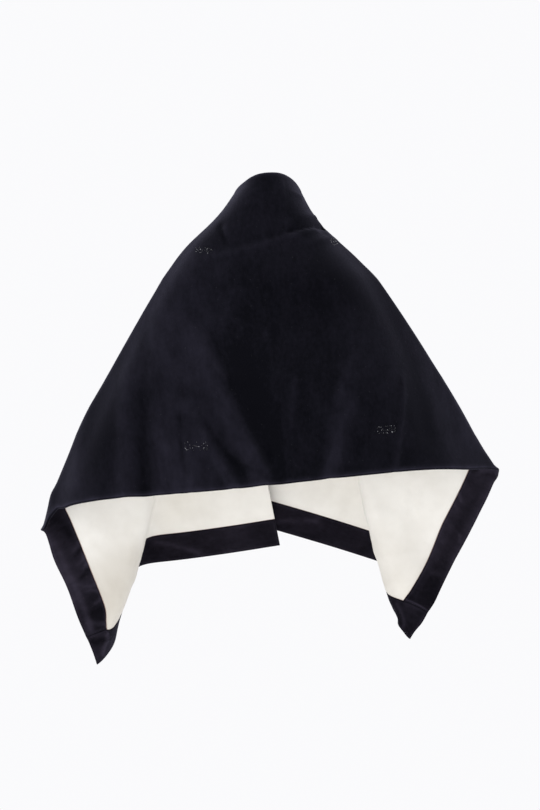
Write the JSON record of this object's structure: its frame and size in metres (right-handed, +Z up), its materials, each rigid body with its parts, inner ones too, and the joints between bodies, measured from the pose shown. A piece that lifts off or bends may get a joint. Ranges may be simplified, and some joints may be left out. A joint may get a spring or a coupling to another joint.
{
  "type": "draped stole cape",
  "caption": "Lined velvet stole worn as a cape, standing at the nape and draped over shoulders and arms, its ends crossed in front.",
  "frame": {"origin": "base of the wearer's neck, in the middle of the neck opening, where the cape is held up", "axes": "+Z up, the wearer faces -Y, +X is the wearer's left"},
  "size_m": [0.785, 0.3749, 0.8453],
  "materials": {
    "black_velvet": "black cotton velvet, deep pile, faint violet cast",
    "ivory_satin": "ivory satin, soft sheen",
    "velvet_facing": "black cotton velvet, pile towards the wearer"
  },
  "bodies": {
    "root": {"velvet_shell": "black_velvet", "lining": "ivory_satin", "hem_facing": "velvet_facing", "left_end_facing": "velvet_facing", "right_end_facing": "velvet_facing"}
  },
  "joints": []
}
